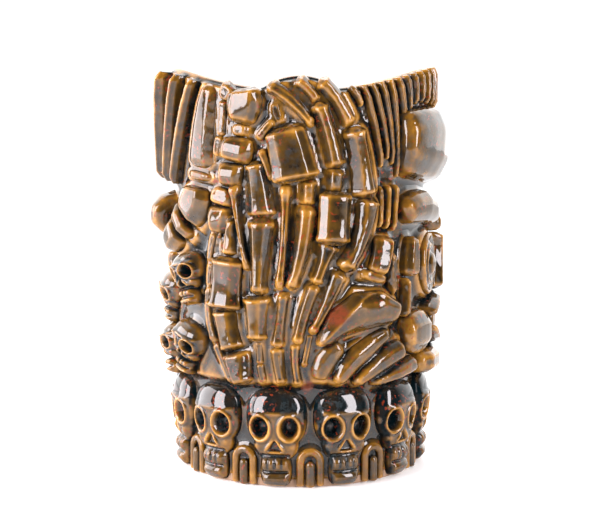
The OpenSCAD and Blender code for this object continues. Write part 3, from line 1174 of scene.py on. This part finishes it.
@dataclass
class SkullRing:
    """Skulls that stand round the foot, and small ones on the back."""

    relief: Relief
    count: int = 12
    first: float = -10.5
    half_width: float = 12.4 * MM
    bottom: float = 0.8 * MM
    top: float = 37.4 * MM
    sink: float = 1.2 * MM
    back_gap: float = 0.4 * MM
    rim_gap: float = 0.5 * MM
    rim_slope: float = 9.0
    middle_depth: float = 2 * MM
    step: float = 0.27 * MM

    # Features of a skull, in millimetres.
    cranium: Boss = Boss(25.6, 11.7, 10.9, 5.4, 2.6)
    cheeks: Boss = Boss(16.8, 8.6, 7.2, 4.4, 2.6)
    chin_block: Boss = Boss(6.6, 6.1, 6.6, 4.0, 3.2)
    brow: Bar = Bar(27.9, 1.1, 0.55, 8.0, 10.0)
    under_nose: Bar = Bar(12.1, 0.75, -0.9, 4.6, 6.0)
    under_teeth: Bar = Bar(6.1, 0.6, -0.9, 4.0, 5.2)
    chin: Bar = Bar(3.6, 1.4, 0.7, 3.6, 5.2)
    eye_side: float = 5.15
    eye_z: float = 22.4
    eye_tall: float = 1.28
    nose_top: float = 18.2
    nose_half: float = 2.3
    teeth_z: float = 9.2
    teeth: tuple[tuple[float, float], ...] = ((1.35, 0.95), (3.7, 1.25))

    crown_pool: float = 0.26
    face_loss: float = 0.10
    socket_pool: float = 0.4
    trophy_drop: float = 12.0 * MM
    trophy_places: tuple[tuple[float, float, float], ...] = (
        (-55, 50 * MM, -14),
        (-55, 76 * MM, 12),
        (-77, 47 * MM, 10),
        (-77, 67.4 * MM, -8),
    )

    def height(self, u: np.ndarray, z: np.ndarray) -> np.ndarray:
        """Give the skull's height above the band, all in millimetres.

        Args:
            u: Distance sideways from the skull's middle.
            z: Height above the table.

        Returns:
            Heights, below 0 outside the skull's outline.
        """
        side = np.abs(u)
        skull = self.cranium.height(side, z)
        skull = smooth_max(skull, self.cheeks.height(side, z), 1.2)
        skull = smooth_max(skull, self.chin_block.height(side, z), 0.9)
        skull += self.brow.height(side, z)

        # Eye sockets, each with a raised ring round it.
        eye = np.hypot(side - self.eye_side, (z - self.eye_z) / self.eye_tall)
        skull += 0.75 * bell(eye, 3.75, 0.55)
        skull -= 4.6 * (1 - smooth_step(eye, 1.2, 3.4))

        # A three-cornered hole for the nose, with raised edges, and the cheekbones beside it.
        nose_half = self.nose_half * np.clip((self.nose_top - z) / 4.0, 0.0, 1.0)
        nose = (1 - smooth_step(side - nose_half, -0.5, 0.35)) * smooth_step(z, 13.4, 14.4)
        nose *= 1 - smooth_step(z, self.nose_top - 1.0, self.nose_top)
        skull -= 1.5 * nose
        skull += 0.7 * bell(side - nose_half, 0.9, 0.6) * bell(z, 15.8, 2.0)
        skull += 0.8 * np.exp(-(((side - 6.6) / 1.5) ** 2 + ((z - 15.6) / 1.9) ** 2))

        # Teeth between two grooves, and the chin.
        skull += self.under_nose.height(side, z)
        upright = np.abs((z - self.teeth_z) / 1.9) ** 3
        for middle, wide in self.teeth:
            skull += 0.85 * np.exp(-np.abs((side - middle) / wide) ** 3 - upright)
        skull += self.under_teeth.height(side, z)
        skull += self.chin.height(side, z)
        return skull

    def model(self, size: SkullSize) -> Piece:
        """Model one skull at angle 0.

        Args:
            size: Its proportions and its seat.

        Returns:
            The closed skull, not yet dressed or placed.
        """
        across = int(2 * self.half_width * size.wide / self.step)
        tall = int((self.top - self.bottom) * size.tall / self.step)
        u = np.linspace(-self.half_width, self.half_width, across)[None, :]
        z = np.linspace(self.bottom, self.top, tall)[:, None]
        grid_u, grid_z = np.broadcast_arrays(u, z)
        height = np.maximum(self.height(grid_u / MM, grid_z / MM) * MM, -self.sink)
        borders = [self.half_width - np.abs(grid_u), grid_z - self.bottom + self.rim_gap]
        border = np.maximum(np.minimum(*borders), 0.0)
        height = np.minimum(height, -self.sink + self.rim_slope * border)
        front = size.seat_r + height * size.deep
        back = np.full_like(front, size.seat_r - self.sink * size.deep - self.back_gap)
        level = size.lift + grid_z * size.tall
        turn = grid_u * size.wide / (size.seat_r + self.middle_depth)
        points = []
        for radius in (front, back):
            spots = np.stack([radius * np.sin(turn), -radius * np.cos(turn), level], axis=2)
            points.append(spots.reshape(-1, 3))
        faces = lattice_faces(tall, across, closed=False)
        total = tall * across
        faces += [tuple(total + i for i in reversed(face)) for face in faces]
        rim = list(range(across))
        rim += [i * across + across - 1 for i in range(1, tall)]
        rim += [total - 1 - i for i in range(1, across)]
        rim += [i * across for i in range(tall - 2, 0, -1)]
        for corner, after in zip(rim, rim[1:] + rim[:1]):
            faces.append((after, corner, total + corner, total + after))
        skull = new_object("skull_model", np.concatenate(points), faces)
        outward(skull)
        return skull

    def glaze_bias(self, points: np.ndarray) -> np.ndarray:
        """Say where the glaze pools on a skull: on the crown, and less on the face.

        Args:
            points: The skull's vertices.

        Returns:
            Extra thickness for each vertex.
        """
        z = points[:, 2]
        crown = smooth_step(z, 27.5 * MM, 29.5 * MM)
        face = smooth_step(z, 11 * MM, 16 * MM) * (1 - crown)
        side = np.abs(np.radians(angle_of(points))) * (SEAT.band_r + self.middle_depth)
        eye = np.hypot(side - self.eye_side * MM, (z - self.eye_z * MM) / self.eye_tall)
        socket = 1 - smooth_step(eye, 2.0 * MM, 3.3 * MM)
        return self.crown_pool * crown - self.face_loss * face + self.socket_pool * socket

    def build(self) -> list[Piece]:
        """Copy the skull round the foot.

        Returns:
            The skulls.
        """
        model = self.model(SkullSize())
        base = coordinates(model.data)
        self.relief.depth.dress(model)
        layer = model.data.attributes[GLAZE_ATTRIBUTE]
        colours = np.empty(len(base) * 4, np.float32)
        layer.data.foreach_get("color", colours)
        thickness = colours[::4] + self.glaze_bias(base)
        colours[::4] = np.clip(thickness, 0.0, 1.0)
        layer.data.foreach_set("color", colours)
        model.data.materials.append(self.relief.glaze)
        only(model)
        bpy.ops.object.shade_smooth()
        skulls = []
        for i in range(self.count):
            angle = math.radians(self.first) + 2 * math.pi * i / self.count
            skull = model.copy()
            skull.data = model.data.copy()
            skull.name = f"skull_{i + 1:02d}_carved"
            bpy.context.scene.collection.objects.link(skull)
            set_coordinates(skull.data, base @ turn_about_axis(angle).T)
            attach(skull, BODY)
            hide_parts(f"skull_{i + 1:02d}")
            skulls.append(skull)
            LOG.info("%s at %.1f degrees", skull.name, math.degrees(angle))
        bpy.data.objects.remove(model)
        return skulls

    def trophies(self) -> Piece:
        """Place small skulls on both sides of the back.

        Returns:
            The piece that holds them all.
        """
        seat = SkullSize(wide=0.82, tall=0.57, deep=1.35, seat_r=SEAT.wall_r - 0.2 * MM)
        places = list(self.trophy_places)
        places += [(180 - degrees, middle, tilt) for degrees, middle, tilt in self.trophy_places]
        skulls = []
        for degrees, middle, tilt in places:
            skull = self.model(replace(seat, lift=middle - self.trophy_drop))
            points = coordinates(skull.data)
            lean = math.radians(tilt)
            across, up = points[:, 0].copy(), points[:, 2] - middle
            points[:, 0] = across * math.cos(lean) - up * math.sin(lean)
            points[:, 2] = middle + across * math.sin(lean) + up * math.cos(lean)
            set_coordinates(skull.data, points @ turn_about_axis(math.radians(degrees)).T)
            skulls.append(skull)
        only(*skulls)
        bpy.ops.object.join()
        piece = bpy.context.view_layer.objects.active
        piece.name = "trophy_skulls_carved"
        return self.relief.finish(piece, "trophy_skulls")


# ---- The studio ----


@dataclass(frozen=True)
class SoftBox:
    """A soft light that faces the mug."""

    name: str
    place: tuple[float, float, float]
    size: tuple[float, float]
    watts: float
    tint: Colour = (1.0, 0.93, 0.96)

    def hang(self, aim: Vector) -> None:
        """Hang the light.

        Args:
            aim: The point that it faces.
        """
        light = bpy.data.lights.new(self.name, "AREA")
        light.shape = "RECTANGLE"
        light.size, light.size_y = self.size
        light.energy = self.watts
        light.color = self.tint
        lamp = bpy.data.objects.new(self.name, light)
        lamp.location = self.place
        facing = aim - Vector(self.place)
        lamp.rotation_euler = facing.to_track_quat("-Z", "Y").to_euler()
        bpy.context.scene.collection.objects.link(lamp)


@dataclass
class Studio:
    """Floor, light and camera."""

    camera_back: float = 0.400
    camera_height: float = 0.110
    camera_pitch: float = 4.73
    lens: float = 59.66
    sensor: float = 36.0
    floor_size: float = 6.0
    floor_front: float = 0.62
    floor_colour: Colour = (0.82, 0.82, 0.825)
    floor_glow: float = 0.2
    dark_side: tuple[float, Colour] = (0.46, (0.010, 0.010, 0.012))
    white_side: tuple[float, Colour] = (0.72, (1.0, 1.0, 1.0))
    wrap_strength: float = 2.7
    backdrop_strength: float = 1.05
    aim_height: float = 0.08
    boxes: tuple[SoftBox, ...] = (
        SoftBox("left_box", (-0.50, -0.34, 0.26), (0.34, 0.44), 7.6),
        SoftBox("left_wall", (-0.66, 0.08, 0.22), (0.46, 0.50), 5.6),
        SoftBox("right_box", (0.42, -0.40, 0.28), (0.17, 0.44), 4.2),
        SoftBox("overhead", (0.0, 0.30, 0.8), (0.5, 0.4), 2.4, (1.0, 1.0, 1.0)),
    )

    def floor(self) -> None:
        """Lay a plain pale floor."""
        middle = self.floor_size / 2 - self.floor_front
        bpy.ops.mesh.primitive_plane_add(size=self.floor_size, location=(0, middle, 0))
        floor = bpy.context.active_object
        floor.name = "studio_floor"
        made = bpy.data.materials.new("white_sweep")
        shader = NodeGraph(made).surface(0.6)
        shader.inputs["Base Color"].default_value = (*self.floor_colour, 1.0)
        shader.inputs["Emission Color"].default_value = (1.0, 1.0, 1.0, 1.0)
        shader.inputs["Emission Strength"].default_value = self.floor_glow
        floor.data.materials.append(made)

    def sky(self) -> None:
        """Wrap the set in white, and keep what the mug mirrors dark on the camera's side."""
        world = bpy.data.worlds.new("studio_wrap")
        bpy.context.scene.world = world
        graph = NodeGraph(world)
        place = graph.node("ShaderNodeTexCoord")
        split = graph.node("ShaderNodeSeparateXYZ")
        graph.join(place.outputs["Generated"], split.inputs["Vector"])
        ramp = graph.node("ShaderNodeValToRGB")
        graph.join(graph.span(split.outputs["Y"], -1.0, 1.0), ramp.inputs["Fac"])
        sides = (self.dark_side, self.white_side)
        for stop, (spot, colour) in zip(ramp.color_ramp.elements, sides):
            stop.position, stop.color = spot, (*colour, 1.0)
        wrap = graph.node("ShaderNodeBackground")
        wrap.inputs["Strength"].default_value = self.wrap_strength
        graph.join(ramp.outputs["Color"], wrap.inputs["Color"])
        backdrop = graph.node("ShaderNodeBackground")
        backdrop.inputs["Color"].default_value = (1.0, 1.0, 1.0, 1.0)
        backdrop.inputs["Strength"].default_value = self.backdrop_strength
        path = graph.node("ShaderNodeLightPath")
        seen = graph.node("ShaderNodeMixShader")
        graph.join(path.outputs["Is Camera Ray"], seen.inputs["Fac"])
        graph.join(wrap.outputs["Background"], seen.inputs[1])
        graph.join(backdrop.outputs["Background"], seen.inputs[2])
        output = graph.node("ShaderNodeOutputWorld")
        graph.join(seen.outputs["Shader"], output.inputs["Surface"])

    def camera(self) -> None:
        """Stand the camera in front of the near flank."""
        lens = bpy.data.cameras.new("camera")
        lens.lens = self.lens
        lens.sensor_width = self.sensor
        lens.clip_start = 0.01
        stand = bpy.data.objects.new("camera", lens)
        stand.location = (0, -self.camera_back, self.camera_height)
        stand.rotation_euler = (math.radians(90 - self.camera_pitch), 0, 0)
        bpy.context.scene.collection.objects.link(stand)
        bpy.context.scene.camera = stand

    def build(self) -> None:
        """Set the whole studio up."""
        self.floor()
        self.sky()
        for box in self.boxes:
            box.hang(Vector((0, 0, self.aim_height)))
        self.camera()
        bpy.context.scene.view_settings.view_transform = "Standard"


# ---- Putting it together ----

FINGERS = BoneCarving()
KNUCKLE = BoneCarving(flare=0.02, waist=0.02)
EVEN = BoneCarving(flare=0.0, waist=0.0, crown=0.0)
PLAIN = replace(EVEN, spread=0.3 * MM)
RIDGE = replace(EVEN, spread=-0.6 * MM, polish=6)
STRAP = replace(EVEN, spread=0.3 * MM, crown=0.3 * MM, polish=12)
HAIR = replace(EVEN, spread=0.4 * MM, thicker=-0.08, coarse=0.4 * MM)
ROLLS = replace(EVEN, polish=24, coarse=0.6 * MM)
BROAD = replace(ROLLS, spread=1.6 * MM, polish=70)
JAW = replace(ROLLS, spread=2.4 * MM, polish=16)
LEAF_CREST = (
    (8.0, 54 * MM),
    (17.0, 63 * MM),
    (24.0, 69 * MM),
    (31.0, 71.5 * MM),
    (41.0, 66 * MM),
)
LEAF = replace(EVEN, crown=0.3 * MM, polish=30, crest=LEAF_CREST)
FLANK_PARTS: dict[str, BoneCarving] = {
    "finger_1_bones": FINGERS,
    "finger_2_bones": FINGERS,
    "finger_3_bones": FINGERS,
    "finger_3_knuckle": KNUCKLE,
    "finger_4_bones": FINGERS,
    "finger_4_knuckle": KNUCKLE,
    "finger_5_bones": FINGERS,
    "thumb_knuckle": KNUCKLE,
    "slender_bones": FINGERS,
    "wrist_chain": KNUCKLE,
    "forearm": STRAP,
    "cane": FINGERS,
    "leaf": LEAF,
    "fan_strands": STRAP,
    "hair_locks": HAIR,
}
RUSTY: dict[str, RustPatch] = {"near_leaf": RustPatch(13.5, 64 * MM, 5 * MM)}
OTHER_PARTS: dict[str, BoneCarving] = {
    "arch_ribs": PLAIN,
    "drop_pegs": PLAIN,
    "forehead_rolls": BROAD,
    "brow_ridges": ROLLS,
    "near_eye_disc": PLAIN,
    "far_eye_disc": PLAIN,
    "nose": PLAIN,
    "mouth_lips": PLAIN,
    "teeth": PLAIN,
    "jaw": JAW,
    "knee_roll": ROLLS,
    "back_straps": RIDGE,
    "spine": PLAIN,
}


def main() -> None:
    """Build every piece in order, then the studio."""
    logging.basicConfig(level=logging.INFO, format="%(message)s", stream=sys.stdout)
    relief = Relief(GlazeDepth(), ReactiveGlaze().material())
    vessel = Vessel(relief, BareClay().material())
    vessel.wall()
    vessel.floor()
    vessel.foot()
    ring = SkullRing(relief)
    ring.build()
    ring.trophies()
    for side in ("near", "far"):
        for part, carving in FLANK_PARTS.items():
            relief.make(f"{side}_{part}", carving, rust=RUSTY.get(f"{side}_{part}"))
    for part, carving in OTHER_PARTS.items():
        relief.make(part, carving)
    Studio().build()


if __name__ == "__main__":
    main()
